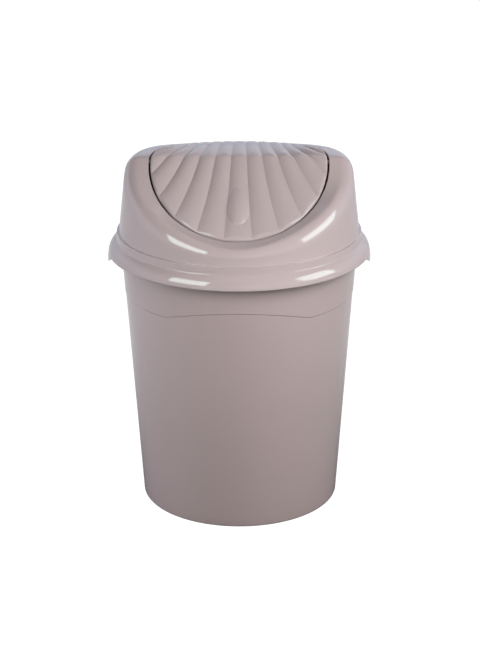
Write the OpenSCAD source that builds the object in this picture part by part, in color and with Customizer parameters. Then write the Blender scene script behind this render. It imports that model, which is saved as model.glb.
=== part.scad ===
// Swing-top waste bin: a tapered round bucket, a domed lid that drops over its rim,
// and a scallop-fluted flap that swings in the lid on two moulded stub pins.
// Millimetres, +Z up, the front faces -Y, and the origin is on the ground at the bin's axis.

/* [Bucket] */
// Outer diameter of the bucket's wall at the ground
foot_d = 273.2; // [250:0.2:300]
// Outer diameter of the bucket's wall at the height of the lid's seat
mouth_d = 323.2; // [314:0.2:334]
// Height of the lid's seat, which rests on the rim
rim_z = 372.8; // [330:0.2:420]
// Thickness of the bucket's wall
bucket_wall = 2.2; // [1.8:0.1:3]
// Thickness of the bucket's floor
floor_t = 2.4; // [1.8:0.1:4]
// Height of the floor's underside above the ground
floor_lift = 6; // [4:0.5:10]
// Outer rounding where the wall meets the ground
foot_round = 4; // [3:0.5:7]
// Width of the ring that the bucket stands on
foot_ring_w = 6; // [5:0.5:12]
// Run of the sloping step between the standing ring and the floor
floor_step = 4; // [2:0.5:8]

/* [Upper band] */
// How far the bucket's upper band stands proud of the wall
band_proud = 0.7; // [0.4:0.1:1.2]
// Height of the band's lower edge
band_z = 303; // [270:1:310]
// Rise of the arch in the band's edge, front and back
arch_rise = 17; // [10:1:24]
// Half of the arch's width
arch_half_w = 95; // [70:1:110]

/* [Rim] */
// How far the rim stands out from the wall
rim_reach = 13.2; // [12:0.1:18]
// Rounding of the rim's outer edge
rim_round = 12; // [11:0.5:12]
// Height of the rim's turned-down lip
rim_lip_h = 12.5; // [12:0.5:13.5]

/* [Lid] */
// Thickness of the lid's wall
lid_wall = 2.4; // [1.8:0.1:2.6]
// Clearance between the rim and the lid's skirt, all round
skirt_clear = 2.3; // [2:0.1:2.6]
// Clearance between the rim's top and the lid's seat
seat_clear = 0.2; // [0.1:0.1:0.5]
// How far the skirt hangs below the seat
skirt_drop = 14.1; // [13.5:0.1:18]
// Rounding of the skirt's shoulder
shoulder_round = 23; // [22:0.5:24]
// Height above the seat at which the shoulder's rounding would run level
shoulder_rise = 6.6; // [6:0.1:7]
// Distance from the skirt's outside in to the raised ring
ring_inset = 12.3; // [12:0.1:15]
// Height of the raised ring above the seat
ring_h = 14.4; // [12:0.1:18]
// Width of the ledge between the ring and the dome
ledge_w = 2.85; // [2:0.05:3.2]
// How much wider the ring is at its foot
ring_flare = 0.6; // [0.4:0.1:2.4]
// Length of the fillet's legs where the shoulder runs up into the ring
ring_fillet = 1.5; // [1:0.5:2]

/* [Finger tabs] */
// Half of a finger tab's width where it leaves the skirt
tab_half_w = 46.6; // [36:0.2:56]
// How far the round finger tabs hang below the skirt
tab_drop = 14; // [9:0.5:18]
// How far a finger tab flares outwards
tab_flare = 0.8; // [0:0.1:2]
// Height over which a finger tab runs up inside the skirt's wall
tab_root = 5; // [3:0.5:8]

/* [Dome] */
// Height of the dome's crown above the seat
crown_rise = 115.2; // [108:0.2:127]
// Radius of the crown, seen from the side
crown_r = 258; // [240:1:320]
// Distance from the bin's axis back to the highest point of the crown
crown_y = 45; // [38:1:52]
// Distance from the bin's axis back to the fold between slope and crown
ridge_y = 9; // [6:0.5:20]
// Angle of the front slope
front_slope = 30.64; // [26:0.02:31]
// Slope of the crown towards the sides, in mm for each mm, 100 mm behind the fold
side_slope = 0.075; // [0:0.005:0.12]
// Half width over which that slope sets in
side_soft = 60; // [40:5:90]
// How much the fold is softened
fold_soft = 2.3; // [1:0.1:4]
// Inward lean of the dome's wall, in mm for each mm of height
dome_lean = 0.1116; // [0.05:0.01:0.15]
// Rounding between wall and top at the front
front_round = 11.5; // [8:0.5:13]
// Rounding between wall and top at the sides and the back
side_round = 19.5; // [16:0.5:28]
// Reach of that rounding inwards, to the left and the right of the front
corner_in = 16; // [10:0.5:18]
// Reach of that rounding down the wall, to the left and the right of the front
corner_down = 25; // [10:0.5:28]
// Outward rise of the top there, in mm for each mm
corner_rise = 0.26; // [0:0.01:0.3]

/* [Flap] */
// Diameter of the opening in the lid
opening_d = 244.6; // [236:0.2:247]
// Gap between the flap and the opening, all round
flap_gap = 2.6; // [1.2:0.1:3]
// Thickness of the flap
flap_t = 2.2; // [1.8:0.1:3]
// Height of the flutes' crests over the valleys
flute_h = 4; // [1:0.1:5]
// Height of the flutes at the front edge, as a share of the full height
front_fade = 0.85; // [0.1:0.05:1]
// Height of the flutes at the back edge, as a share of the full height
back_fade = 0.15; // [0.1:0.05:1]
// Angle between the flutes' valleys along the front edge
front_pitch = 18; // [15:1:22]
// Angle between the flutes' valleys along the back edge
back_pitch = 8; // [6:0.5:12]
// Width of the oval finger pad
pad_w = 28; // [20:1:30]
// Length of the finger pad, seen from above
pad_l = 57; // [40:1:64]
// Distance from the bin's axis forward to the middle of the finger pad
pad_y = 72; // [55:1:75]
// Height of the finger pad
pad_h = 6; // [2:0.5:8]
// Depth of the stiffening rib under the front edge
front_rib_depth = 6; // [3:0.5:10]
// Half of the front rib's length, in flutes
front_rib_half = 4.5; // [3:0.5:5]
// Depth of the balance rib under the back edge
balance_depth = 15.5; // [8:0.1:18]
// Half of the balance rib's length, in flutes
balance_half = 5; // [3:0.5:5.5]

/* [Pivot] */
// Distance from the bin's axis back to the swing axis
pivot_y = 12; // [10:0.5:14]
// Diameter of the flap's stub pins
pin_d = 6; // [4:0.5:6.5]
// Clearance round each pin in its socket
pin_clear = 0.25; // [0.1:0.05:0.4]
// Outer diameter of the sockets and of the pins' bosses
boss_d = 11; // [10:0.5:11.4]
// Distance from the swing axis up to the front slope
pivot_depth = 8.4; // [5.9:0.05:9]
// Length of each pin inside its socket
pin_hold = 7.2; // [5:0.2:9]
// Length of the boss at the root of each pin
lug_l = 6; // [4:0.5:8]
// Thickness of the gusset that braces each socket
gusset_t = 2; // [1.5:0.1:3]

/* [Hidden] */

plastic = [0.66, 0.56, 0.55];
round_fn = 192;
small_fn = 48;
// How far a piece reaches into the one it is moulded with
sink = 1;

// Bucket
foot_r = foot_d / 2;
flare = (mouth_d / 2 - foot_r) / rim_z;
function wall_r(z) = foot_r + flare * z;
rim_top_z = rim_z - seat_clear;
rim_r = mouth_d / 2 + rim_reach;
lip_z = rim_z - rim_lip_h;
rim_mid = [rim_r - rim_round, rim_top_z - rim_round];
ring_out_r = wall_r(foot_round) - foot_round;
ring_in_r = ring_out_r - foot_ring_w;
floor_r = ring_in_r - floor_step;
arch_r = (pow(arch_half_w, 2) + pow(arch_rise, 2)) / (2 * arch_rise);

// Lid
skirt_r = rim_r + skirt_clear + lid_wall;
skirt_z = rim_z - skirt_drop;
shoulder_z = rim_z + shoulder_rise - shoulder_round;
shoulder_r = skirt_r - shoulder_round;
ring_r = skirt_r - ring_inset;
ring_foot_r = ring_r + ring_flare;
ring_foot_a = acos((ring_foot_r - shoulder_r) / shoulder_round);
ring_z = rim_z + ring_h;
dome_r = ring_r - ledge_w;
opening_r = opening_d / 2;
crown_z = rim_z + crown_rise;
inner_round = shoulder_round - lid_wall;
seat_a = asin((rim_z - shoulder_z) / inner_round);

tab_r = (pow(tab_half_w, 2) + pow(tab_drop, 2)) / (2 * tab_drop);

// Flap
flap_r = opening_r - flap_gap;
pivot_z = fold_line(pivot_y) - pivot_depth / cos(front_slope);
pin_x = sqrt(pow(opening_r, 2) - pow(pivot_y, 2)) + flap_gap;
pin_end = pin_x + pin_hold;
socket_end = pin_end + sink + lid_wall;
pivot_azimuth = 90 + asin(pivot_y / dome_r);
pivot_line = acos(-pivot_y / flap_r) / front_pitch;
flute_end = 180 / (front_pitch + back_pitch);

// The shape of the top, seen from the side: a straight slope that folds into a round crown
function crown_line(y) = crown_z - crown_r + sqrt(pow(crown_r, 2) - pow(y - crown_y, 2));
function side_fall(x, y) = side_slope * (norm([x, side_soft]) - side_soft) * max(y - ridge_y, 0) / 100;
function fold_line(y) = crown_line(ridge_y) + tan(front_slope) * (y - ridge_y);
function soft_min(a, b, k) = min(a, b) - pow(max(k - abs(a - b), 0), 2) / (4 * k);
function top_z(x, y) = soft_min(fold_line(y), crown_line(y), fold_soft) - side_fall(x, y);

// Point on a round corner between two straight legs of one length, t from 0 to 1
function turn_weight(a, b, c) = sin(acos((a - b) * (c - b) / norm(a - b) / norm(c - b)) / 2);
function turn(a, b, c, w, t) =
    let (k0 = pow(1 - t, 2), k1 = 2 * w * t * (1 - t), k2 = pow(t, 2))
    (a * k0 + b * k1 + c * k2) / (k0 + k1 + k2);
function arc(r, z, radius, from, to, steps) =
    [for (i = [0:steps]) let (a = from + (to - from) * i / steps) [r + radius * cos(a), z + radius * sin(a)]];

// Closed skin over a grid of points: rows and columns both run round, and left mirrors right
function ring_faces(rows, cols) =
    [for (i = [0:rows - 1], j = [0:cols - 1], k = [0, 1])
        let (a = i * cols + j,
             b = i * cols + (j + 1) % cols,
             c = ((i + 1) % rows) * cols + (j + 1) % cols,
             d = ((i + 1) % rows) * cols + j)
        i < rows / 2 ? (k == 0 ? [a, b, c] : [a, c, d]) : (k == 0 ? [a, b, d] : [b, c, d])];

// Dome of the lid: height of its top at an angle from the front and a radius
dome_steps = 96;
turn_steps = 6;
flat_steps = 2;
function ease(t) = let (c = min(max(t, 0), 1)) pow(c, 2) * (3 - 2 * c);
function aside(a) = ease(acos(cos(a)) / 42);
function behind(a) = ease((acos(cos(a)) - 58) / 30);
function corner(a, front, turned, side) = (front + (turned - front) * aside(a)) * (1 - behind(a)) + side * behind(a);
function rim_top(a, r) =
    top_z(r * sin(a), -cos(a) * (cos(a) > 0 ? opening_r : r)) + corner(a, 0, corner_rise, 0) * (r - opening_r);
function dome_wall_r(z, inset) = dome_r - inset - dome_lean * (z - ring_z);
function dome_side(a, inset) =
    let (leg = tan(45 - atan(dome_lean) / 2),
         inwards = corner(a, front_round * leg, corner_in, side_round * leg),
         down = corner(a, front_round * leg, corner_down, side_round * leg) - inset,
         flat_r = dome_wall_r(rim_top(a, dome_wall_r(crown_z, 0)), 0) - inwards,
         flat_z = rim_top(a, flat_r) - inset,
         fall = rim_top(a, flat_r + 1) - rim_top(a, flat_r),
         meet_r = (dome_r - inset - dome_lean * (flat_z - fall * flat_r - ring_z)) / (1 + dome_lean * fall),
         meet = [meet_r, flat_z + fall * (meet_r - flat_r)],
         wall = [dome_lean, -1] / norm([dome_lean, -1]),
         start = meet + wall * min(down, (meet[1] - ring_z) * 0.9 - inset),
         w = turn_weight(start, meet, [flat_r, flat_z]))
    concat(
        [[dome_wall_r(ring_z - sink, inset), ring_z - sink]],
        [for (i = [0:turn_steps]) turn(start, meet, [flat_r, flat_z], w, i / turn_steps)],
        [for (i = [1:flat_steps])
            let (r = flat_r + (opening_r - flat_r) * i / flat_steps) [r, rim_top(a, r) - inset]]);
function reversed(list) = [for (i = [len(list) - 1:-1:0]) list[i]];
function stand(a, points) = [for (p = points) [p[0] * sin(a), -p[0] * cos(a), p[1]]];

// Flap: line u runs from the front edge (v = 0) to the back edge (v = 1) and bends outwards to the front
front_rows = 16;
back_rows = 9;
flap_rows = front_rows + back_rows;
least_share = 0.1;
side_cols = 4;
pad_cols = 10;
function flute_ends(u) =
    [flap_r * [sin(front_pitch * u), -cos(front_pitch * u)], flap_r * [sin(back_pitch * u), cos(back_pitch * u)]];
function flute_point(u, v) =
    let (e = flute_ends(u)) [e[1][0] + (e[0][0] - e[1][0]) * pow(1 - v, 2), e[0][1] + (e[1][1] - e[0][1]) * v];
function row_share(u, j) =
    let (e = flute_ends(u),
         fold = max(least_share, (ridge_y - e[0][1]) / (e[1][1] - e[0][1])))
    j <= front_rows ? fold * j / front_rows : fold + (1 - fold) * (j - front_rows) / back_rows;
// Flutes run up from the front edge, and fade out at the back edge and towards the poles
front_run = 0.2;
back_run = 0.65;
pole_run = 1.2;
function fade(t, least) = least + (1 - least) * min(1, t);
function rib_height(u, v) =
    flute_h * (1 - pow(2 * (u - round(u)), 2)) * fade(v / front_run, front_fade)
    * fade((1 - v) / back_run, back_fade) * fade((flute_end - abs(u)) / pole_run, 0);
function pad_height(x, y) =
    let (s = (y + pad_y) / (pad_l / 2), q = 1 - pow(x / (pad_w / 2), 2) - pow(s, 2))
    q <= 0 ? 0 : pad_h * sqrt(q) * (1 - s) / 2;
function flap_top(u, v) = let (p = flute_point(u, v)) top_z(p[0], p[1]) + rib_height(u, v);
function flap_point(u, v, under) =
    let (p = flute_point(u, v)) [p[0], p[1], flap_top(u, v) + (under ? -flap_t : pad_height(p[0], p[1]))];
// Where the ribs and the pins' lugs lie: shares of the way back, and lines beside the pivot line
front_rib_at = [0.05, 0.065];
balance_at = [0.9, 0.95];
lug_at = [0.01, 0.07];
lug_lines = [0.25, 0.1];
last_col = floor(flute_end * side_cols - 0.5) / side_cols;
flute_cols = concat(
    [for (u = [-last_col:1 / side_cols:-0.5 - 1 / side_cols]) u],
    [for (k = [0:pad_cols]) k / pad_cols - 0.5],
    [for (u = [0.5 + 1 / side_cols:1 / side_cols:last_col]) u]);

module bucket_wall_profile() {
    polygon(concat(
        [[0, floor_lift]],
        [[floor_r, floor_lift], [ring_in_r, 0]],
        arc(ring_out_r, foot_round, foot_round, -90, -atan(flare), 8),
        [[wall_r(rim_mid[1]), rim_mid[1]], [wall_r(rim_top_z), rim_top_z - bucket_wall]],
        arc(rim_mid[0], rim_mid[1], rim_round - bucket_wall, 90, 0, 10),
        [[rim_r - bucket_wall, lip_z], [rim_r, lip_z]],
        arc(rim_mid[0], rim_mid[1], rim_round, 0, 90, 12),
        [[wall_r(rim_top_z) - bucket_wall, rim_top_z]],
        [[wall_r(floor_lift + foot_round) - bucket_wall, floor_lift + foot_round]],
        [[ring_out_r - bucket_wall, floor_t], [ring_in_r + floor_t / 2, floor_t]],
        [[floor_r + floor_t / 2, floor_lift + floor_t], [0, floor_lift + floor_t]]
    ));
}

module band_profile() {
    top = rim_mid[1] + rim_round / 2;
    polygon([
        [wall_r(band_z) - sink, band_z],
        [wall_r(band_z) + band_proud, band_z],
        [wall_r(top) + band_proud, top],
        [wall_r(top) - sink, top]
    ]);
}

module bucket() {
    color(plastic) {
        rotate_extrude($fn = round_fn)
            bucket_wall_profile();
        difference() {
            rotate_extrude($fn = round_fn)
                band_profile();
            translate([0, 0, band_z + arch_rise - arch_r])
                rotate([90, 0, 0])
                    cylinder(r = arch_r, h = 2 * mouth_d, center = true, $fn = round_fn);
        }
    }
}

module collar_profile() {
    skirt_a = asin((skirt_z - shoulder_z) / shoulder_round);
    inner_a = asin((skirt_z - shoulder_z) / inner_round);
    fillet_a = ring_foot_a - ring_fillet / shoulder_round * 180 / PI;
    foot = [ring_foot_r, shoulder_z + shoulder_round * sin(ring_foot_a)];
    side = [ring_r, ring_z - sink];
    start = [shoulder_r + shoulder_round * cos(fillet_a), shoulder_z + shoulder_round * sin(fillet_a)];
    end = foot + ring_fillet * (side - foot) / norm(side - foot);
    w = turn_weight(start, foot, end);
    in_r = dome_r - lid_wall - sink / 4;
    polygon(concat(
        arc(shoulder_r, shoulder_z, shoulder_round, skirt_a, fillet_a, 14),
        [for (i = [1:4]) turn(start, foot, end, w, i / 4)],
        [side, [ring_r - sink, ring_z], [in_r, ring_z]],
        [[in_r, ring_z - lid_wall], [ring_r - lid_wall, ring_z - lid_wall], [ring_r - lid_wall, rim_z]],
        arc(shoulder_r, shoulder_z, inner_round, seat_a, inner_a, 10)
    ));
}

// A tab grows out of the middle of the skirt's wall
module tab_profile() {
    core = lid_wall / 3;
    polygon([
        [skirt_r - 2 * core, skirt_z + tab_root],
        [skirt_r - core, skirt_z + tab_root],
        [skirt_r + tab_flare / 2, skirt_z + core],
        [skirt_r + tab_flare, skirt_z - 2 / 3 * tab_drop],
        [skirt_r + tab_flare / 2, skirt_z - tab_drop - sink],
        [skirt_r + tab_flare / 2 - core, skirt_z - tab_drop - sink],
        [skirt_r + tab_flare - 2 * core, skirt_z - 2 / 3 * tab_drop]
    ]);
}

// Both tabs are what a level cylinder cuts out of one ring
module tabs() {
    intersection() {
        rotate_extrude($fn = round_fn)
            tab_profile();
        translate([0, 0, skirt_z - tab_drop + tab_r])
            rotate([0, 90, 0])
                cylinder(r = tab_r, h = 2 * mouth_d, center = true, $fn = round_fn);
    }
}

module dome() {
    sides = [for (i = [0:dome_steps - 1]) let (a = 360 * i / dome_steps)
        stand(a, concat(dome_side(a, 0), reversed(dome_side(a, lid_wall))))];
    polyhedron(points = [for (s = sides, p = s) p], faces = ring_faces(dome_steps, len(sides[0])));
}

// A socket hangs under the rim of the opening, braced against the dome's wall
module socket_body() {
    foot = socket_end - sink;
    translate([pin_x, pivot_y, pivot_z])
        rotate([0, 90, 0])
            cylinder(d = boss_d, h = socket_end - pin_x, $fn = small_fn);
    translate([0, pivot_y + gusset_t / 2, 0])
        rotate([90, 0, 0])
            linear_extrude(gusset_t)
                polygon(concat(
                    [for (p = dome_side(pivot_azimuth, lid_wall / 2)) if (p[0] > foot && p[1] > ring_z) p],
                    [[foot, pivot_z + boss_d / 2 - sink], [foot, pivot_z - boss_d / 2 + sink]]
                ));
}

module socket_bore() {
    translate([pin_x - sink, pivot_y, pivot_z])
        rotate([0, 90, 0])
            cylinder(d = pin_d + 2 * pin_clear, h = pin_hold + 2 * sink, $fn = small_fn);
}

module lid() {
    color(plastic)
        difference() {
            union() {
                rotate_extrude($fn = round_fn)
                    collar_profile();
                tabs();
                dome();
                socket_body();
                mirror([1, 0, 0])
                    socket_body();
            }
            socket_bore();
            mirror([1, 0, 0])
                socket_bore();
        }
}

// The fluted shell: two poles at the ends of the widest line, and one column of points a line
module flap_shell() {
    cols = len(flute_cols);
    rows = flap_rows + 1;
    layer = cols * rows + 2;
    function at(l, i, j) = l * layer + (i < 0 ? cols * rows : i >= cols ? cols * rows + 1 : i * rows + j);
    function flip(l, f) = l == 0 ? f : [f[0], f[2], f[1]];
    pole = [for (s = [-1, 1]) flute_point(s * flute_end, 0)];
    points = [for (l = [0, 1]) each concat(
        [for (c = flute_cols, j = [0:flap_rows]) flap_point(c, row_share(c, j), l == 1)],
        [for (p = pole) [p[0], p[1], top_z(p[0], p[1]) - (l == 1 ? flap_t : 0)]])];
    skins = [for (l = [0, 1], i = [-1:cols - 1], j = [0:flap_rows - 1], k = [0, 1])
        if (!(i < 0 && k == 0) && !(i == cols - 1 && k == 1))
            flip(l, k == 0 ? [at(l, i, j), at(l, i, j + 1), at(l, i + 1, j)]
                           : [at(l, i, j + 1), at(l, i + 1, j + 1), at(l, i + 1, j)])];
    edges = [for (i = [-1:cols - 1], j = [0, flap_rows], k = [0, 1])
        let (f = k == 0 ? [at(0, i, j), at(0, i + 1, j), at(1, i, j)]
                        : [at(0, i + 1, j), at(1, i + 1, j), at(1, i, j)])
        flip(j == 0 ? 0 : 1, f)];
    polyhedron(points = points, faces = concat(skins, edges));
}

// A rib under the shell, between two shares of the way back and from line u0 to line u1
module under_rib(at, u0, u1, depth, steps) {
    points = [for (i = [0:steps])
        let (u = u0 + (u1 - u0) * i / steps,
             a = flute_point(u, at[0]),
             b = flute_point(u, at[1]),
             low = flap_top(u, (at[0] + at[1]) / 2) - flap_t - depth)
        each [
            [a[0], a[1], flap_top(u, at[0]) - flap_t / 2],
            [b[0], b[1], flap_top(u, at[1]) - flap_t / 2],
            [b[0], b[1], low],
            [a[0], a[1], low]
        ]];
    walls = [for (i = [0:steps - 1], j = [0:3], k = [0, 1])
        let (a = 4 * i + j, b = 4 * i + (j + 1) % 4, c = b + 4, d = a + 4)
        k == 0 ? [a, b, c] : [a, c, d]];
    last = 4 * steps;
    ends = [[0, 2, 1], [0, 3, 2], [last, last + 1, last + 2], [last, last + 2, last + 3]];
    polyhedron(points = points, faces = concat(walls, ends));
}

module stub_pin() {
    lug_end = sqrt(pow(flap_r, 2) - pow(pivot_y + boss_d / 2, 2)) - sink / 2;
    under_rib(lug_at, pivot_line - lug_lines[0], pivot_line + lug_lines[1], boss_d / 2, 3);
    translate([lug_end - lug_l, pivot_y, pivot_z])
        rotate([0, 90, 0])
            cylinder(d = boss_d, h = lug_l, $fn = small_fn);
    translate([lug_end - sink, pivot_y, pivot_z])
        rotate([0, 90, 0])
            cylinder(d = pin_d, h = pin_end - lug_end + sink, $fn = small_fn);
}

module swing_flap() {
    color(plastic) {
        flap_shell();
        under_rib(front_rib_at, -front_rib_half, front_rib_half, front_rib_depth, 36);
        under_rib(balance_at, -balance_half, balance_half, balance_depth, 40);
        stub_pin();
        mirror([1, 0, 0])
            stub_pin();
    }
}

bucket();
lid();
swing_flap();
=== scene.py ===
# Swing-top bin: a tapered bucket, a domed lid and a fluted flap on two stub pins

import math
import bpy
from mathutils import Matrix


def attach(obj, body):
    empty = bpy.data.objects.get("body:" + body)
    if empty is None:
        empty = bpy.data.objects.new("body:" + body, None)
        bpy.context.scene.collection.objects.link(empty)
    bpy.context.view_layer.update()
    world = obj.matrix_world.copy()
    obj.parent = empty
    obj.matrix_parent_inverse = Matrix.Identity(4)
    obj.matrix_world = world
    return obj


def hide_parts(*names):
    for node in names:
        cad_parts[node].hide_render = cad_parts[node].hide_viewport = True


bl_info = {
    "name": "Swing-Top Bin",
    "version": (1, 0, 0),
    "blender": (4, 5, 0),
    "location": "View3D > Sidebar > Bin",
    "description": "Builds a swing-top bin with a fluted flap, its moulded plastics and its studio",
    "category": "Add Mesh",
}

from types import SimpleNamespace

import bmesh
import bpy
from bpy.props import FloatProperty, FloatVectorProperty, IntProperty, PointerProperty
from mathutils import Matrix, Vector

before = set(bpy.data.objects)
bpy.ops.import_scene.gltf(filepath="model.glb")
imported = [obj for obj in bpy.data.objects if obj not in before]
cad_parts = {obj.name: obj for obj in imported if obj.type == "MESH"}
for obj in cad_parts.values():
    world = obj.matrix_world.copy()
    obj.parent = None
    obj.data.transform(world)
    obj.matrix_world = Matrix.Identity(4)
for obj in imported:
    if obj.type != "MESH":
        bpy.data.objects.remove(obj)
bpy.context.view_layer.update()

MM = 0.001
TURN = 2 * math.pi
SINK = 1 * MM


# Settings
def amount(name, description, default, **kind):
    return FloatProperty(name=name, description=description, default=default, **kind)


def length(name, description, metres):
    return amount(name, description, metres, unit="LENGTH", precision=4)


def angle(name, description, degrees):
    return amount(name, description, math.radians(degrees), subtype="ANGLE")


def share(name, description, default, top=1.0):
    return amount(name, description, default, min=0.0, max=top)


def tint(name, description, default):
    return FloatVectorProperty(
        name=name, description=description, default=default, size=4, subtype="COLOR", min=0, max=1
    )


class BucketSettings(bpy.types.PropertyGroup):
    foot_radius: length("Foot radius", "Outer radius of the wall at the ground", 0.1366)
    seat_radius: length("Seat radius", "Outer radius of the wall at the lid's seat", 0.1616)
    seat_height: length("Seat height", "Height at which the lid rests on the rim", 0.3728)
    seat_clear: length("Seat clearance", "Clearance between the rim's top and the lid", 0.0002)
    wall: length("Wall", "Thickness of the wall", 0.0022)
    floor_thickness: length("Floor thickness", "Thickness of the floor", 0.0024)
    floor_lift: length("Floor lift", "Height of the floor's underside", 0.006)
    foot_round: length("Foot rounding", "Rounding where the wall meets the ground", 0.004)
    foot_ring: length("Standing ring", "Width of the ring that the bucket stands on", 0.006)
    floor_step: length("Floor step", "Run of the step from the ring up to the floor", 0.004)
    band_proud: length("Band depth", "How far the upper band stands proud of the wall", 0.0007)
    band_height: length("Band height", "Height of the band's lower edge", 0.303)
    arch_rise: length("Arch rise", "Rise of the arch in the band's edge", 0.017)
    arch_half: length("Arch half width", "Half of the arch's width", 0.095)
    band_bevel: length("Band bevel", "Height of the sloping edges of the band", 0.0014)
    rim_reach: length("Rim reach", "How far the rim stands out from the wall", 0.0132)
    rim_round: length("Rim rounding", "Rounding of the rim's outer edge", 0.012)
    rim_lip: length("Rim lip", "Height of the rim's turned-down lip", 0.0125)
    columns: IntProperty(name="Columns", description="Points round the bucket", default=288, min=48)


class LidSettings(bpy.types.PropertyGroup):
    wall: length("Wall", "Thickness of the lid's wall", 0.0024)
    seat_height: length("Seat height", "Height at which the lid rests on the rim", 0.3728)
    skirt_radius: length("Skirt radius", "Outer radius of the skirt", 0.1795)
    skirt_height: length("Skirt height", "Height of the skirt's lower edge", 0.3587)
    shoulder_round: length("Shoulder rounding", "Rounding of the skirt's shoulder", 0.023)
    shoulder_height: length("Shoulder height", "Height of the middle of the shoulder's rounding", 0.3564)
    ring_radius: length("Ring radius", "Outer radius of the raised ring", 0.1672)
    ring_height: length("Ring height", "Height of the raised ring's top", 0.3872)
    ring_flare: length("Ring flare", "How much wider the ring is at its foot", 0.0006)
    ring_fillet: length("Ring fillet", "Legs of the fillet at the ring's foot", 0.0015)
    ring_edge: length("Ring edge", "Rounding of the ring's upper edge", 0.00045)
    ledge: length("Ledge", "Width of the ledge between the ring and the dome", 0.00285)
    ledge_fillet: length("Ledge fillet", "Fillet between the ledge and the dome", 0.001)
    tab_half: length("Tab half width", "Half of a finger tab's width", 0.0466)
    tab_drop: length("Tab drop", "How far the finger tabs hang below the skirt", 0.014)
    tab_flare: length("Tab flare", "How far a finger tab flares outwards", 0.0008)
    tab_wall: length("Tab wall", "Thickness of a finger tab at its tip", 0.0013)
    dome_lean: share("Dome lean", "Inward lean of the dome's wall for each metre of height", 0.1116)
    front_round: length("Front rounding", "Rounding between wall and top at the front", 0.0115)
    side_round: length("Side rounding", "Rounding between wall and top at the sides and the back", 0.0195)
    corner_in: length("Corner inwards", "Reach of the rounding inwards beside the front", 0.016)
    corner_down: length("Corner downwards", "Reach of the rounding down the wall beside the front", 0.025)
    corner_rise: share("Corner rise", "Outward rise of the top beside the front, for each metre", 0.26)
    opening_radius: length("Opening radius", "Radius of the opening", 0.1223)
    edge_round: length("Edge rounding", "Rounding of the opening's edge", 0.0009)
    columns: IntProperty(name="Columns", description="Points round the lid", default=288, min=48)


class TopSettings(bpy.types.PropertyGroup):
    crown_height: length("Crown height", "Height of the crown's highest point", 0.488)
    crown_radius: length("Crown radius", "Radius of the crown, seen from the side", 0.258)
    crown_back: length("Crown back", "Distance from the axis back to the crown's highest point", 0.045)
    fold_back: length("Fold back", "Distance from the axis back to the fold", 0.009)
    fold_soft: length("Fold softness", "How much the fold is softened", 0.0023)
    slope: angle("Slope", "Angle of the front slope", 30.64)
    side_slope: share("Side slope", "Slope of the crown towards the sides, 100 mm behind the fold", 0.075)
    side_soft: length("Side softness", "Half width over which the side slope sets in", 0.06)


class FlapSettings(bpy.types.PropertyGroup):
    flap_radius: length("Flap radius", "Radius of the flap, seen from above", 0.1197)
    thickness: length("Thickness", "Thickness of the flap", 0.0022)
    edge_round: length("Edge rounding", "Rounding of the flap's upper edge", 0.0009)
    flute_height: length("Flute height", "Height of the flutes' crests over the valleys", 0.00386)
    front_pitch: angle("Front pitch", "Angle between valleys along the front edge", 18)
    back_pitch: angle("Back pitch", "Angle between valleys along the back edge", 8)
    front_fade: share("Front fade", "Height of the flutes at the front edge, as a share", 0.85)
    back_fade: share("Back fade", "Height of the flutes at the back edge, as a share", 0.15)
    front_run: share("Front run", "Share of the way back over which the flutes rise", 0.2)
    back_run: share("Back run", "Share of the way back over which the flutes fade", 0.65)
    pole_run: share("Pole run", "Flutes over which the ribs fade at the left and the right", 1.2, 3.0)
    end_cap: length("End cap", "Length of the flutes' rounded ends", 0.004)
    front_rib: length("Front rib", "Depth of the rib under the front edge", 0.006)
    balance_rib: length("Balance rib", "Depth of the rib under the back edge", 0.0155)
    pivot_back: length("Pivot back", "Distance from the axis back to the swing axis", 0.012)
    pivot_depth: length("Pivot depth", "Distance from the swing axis up to the front slope", 0.0084)
    pin_radius: length("Pin radius", "Radius of the stub pins", 0.003)
    pin_clear: length("Pin clearance", "Clearance round each pin", 0.00025)
    pin_hold: length("Pin hold", "Length of each pin inside its socket", 0.0072)
    lug_length: length("Lug length", "Length of the boss at the root of each pin", 0.006)
    boss_radius: length("Boss radius", "Radius of the sockets and of the pins' bosses", 0.0055)


class PadSettings(bpy.types.PropertyGroup):
    pad_half_width: length("Pad half width", "Half of the finger pad's width", 0.0148)
    pad_half_length: length("Pad half length", "Half of the finger pad's length, seen from above", 0.0285)
    pad_front: length("Pad front", "Distance from the axis forward to the middle of the pad", 0.072)
    pad_height: length("Pad height", "Height of the finger pad", 0.0042)
    grip_height: length("Grip height", "Depth of the grip ridges", 0.00035)
    grip_pitch: length("Grip pitch", "Distance between grip ridges", 0.003)


class FinishSettings(bpy.types.PropertyGroup):
    plastic: tint("Plastic", "Colour of the bucket's plastic", (0.375, 0.3, 0.293, 1))
    # Painted light: the lid's and the flap's colours are greyer copies of the bucket's plastic, the lid's
    # also a little lighter, tuned to stand in for how light and sheen fall on them
    lid_plastic: tint("Lid plastic", "Colour of the lid's plastic", (0.372, 0.306, 0.305, 1))
    flap_plastic: tint("Flap plastic", "Colour of the flap's plastic", (0.364, 0.302, 0.302, 1))
    bucket_rough: share("Bucket roughness", "Roughness of the bucket", 0.16)
    lid_rough: share("Lid roughness", "Roughness of the lid", 0.04)
    flap_rough: share("Flap roughness", "Roughness of the flap", 0.14)


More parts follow.
